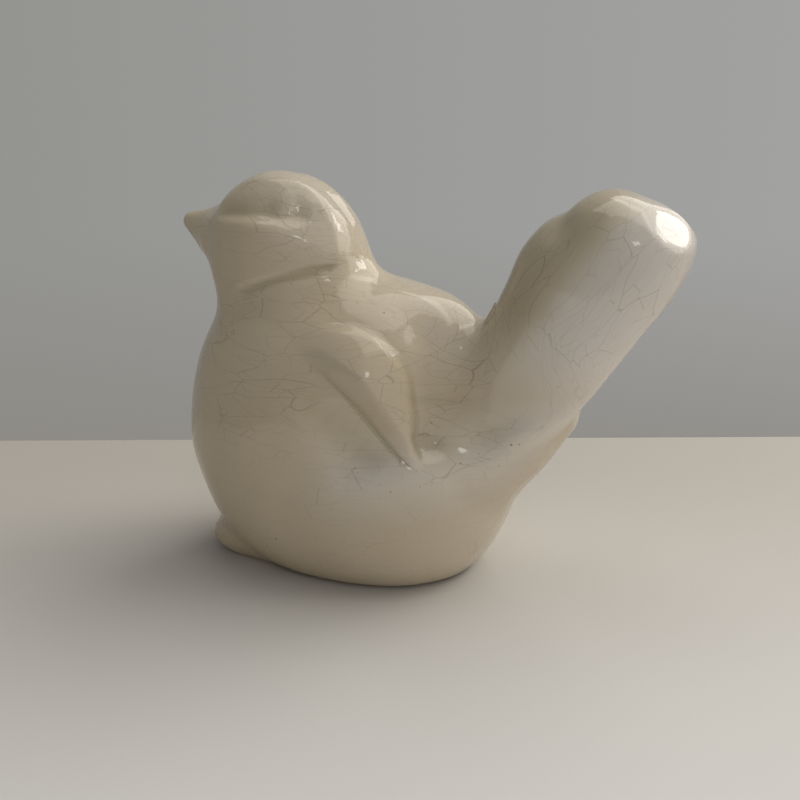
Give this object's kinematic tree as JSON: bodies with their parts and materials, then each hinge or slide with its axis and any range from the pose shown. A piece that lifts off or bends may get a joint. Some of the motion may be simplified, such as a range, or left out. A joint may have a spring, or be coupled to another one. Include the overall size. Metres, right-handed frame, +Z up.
{
  "type": "bird figurine",
  "caption": "Small hollow glazed ceramic bird with a round body, short blunt beak and a thick upright tail, standing on a bare foot ring.",
  "frame": {"origin": "on the table plane, below the middle of the bird's overall box", "axes": "+Z up, +Y from the beak towards the tail, +X across the bird to its left side"},
  "size_m": [0.062, 0.1276, 0.0978],
  "materials": {
    "glaze": "glossy cream glaze with fine craze lines",
    "bare_clay": "matt unglazed clay"
  },
  "bodies": {
    "root": {"body_shell": "glaze", "head_shell": "glaze", "beak": "glaze", "tail_shell": "glaze", "wing_left": "glaze", "wing_right": "glaze", "foot_left": "glaze", "foot_right": "glaze", "foot_ring": "bare_clay"}
  },
  "joints": []
}
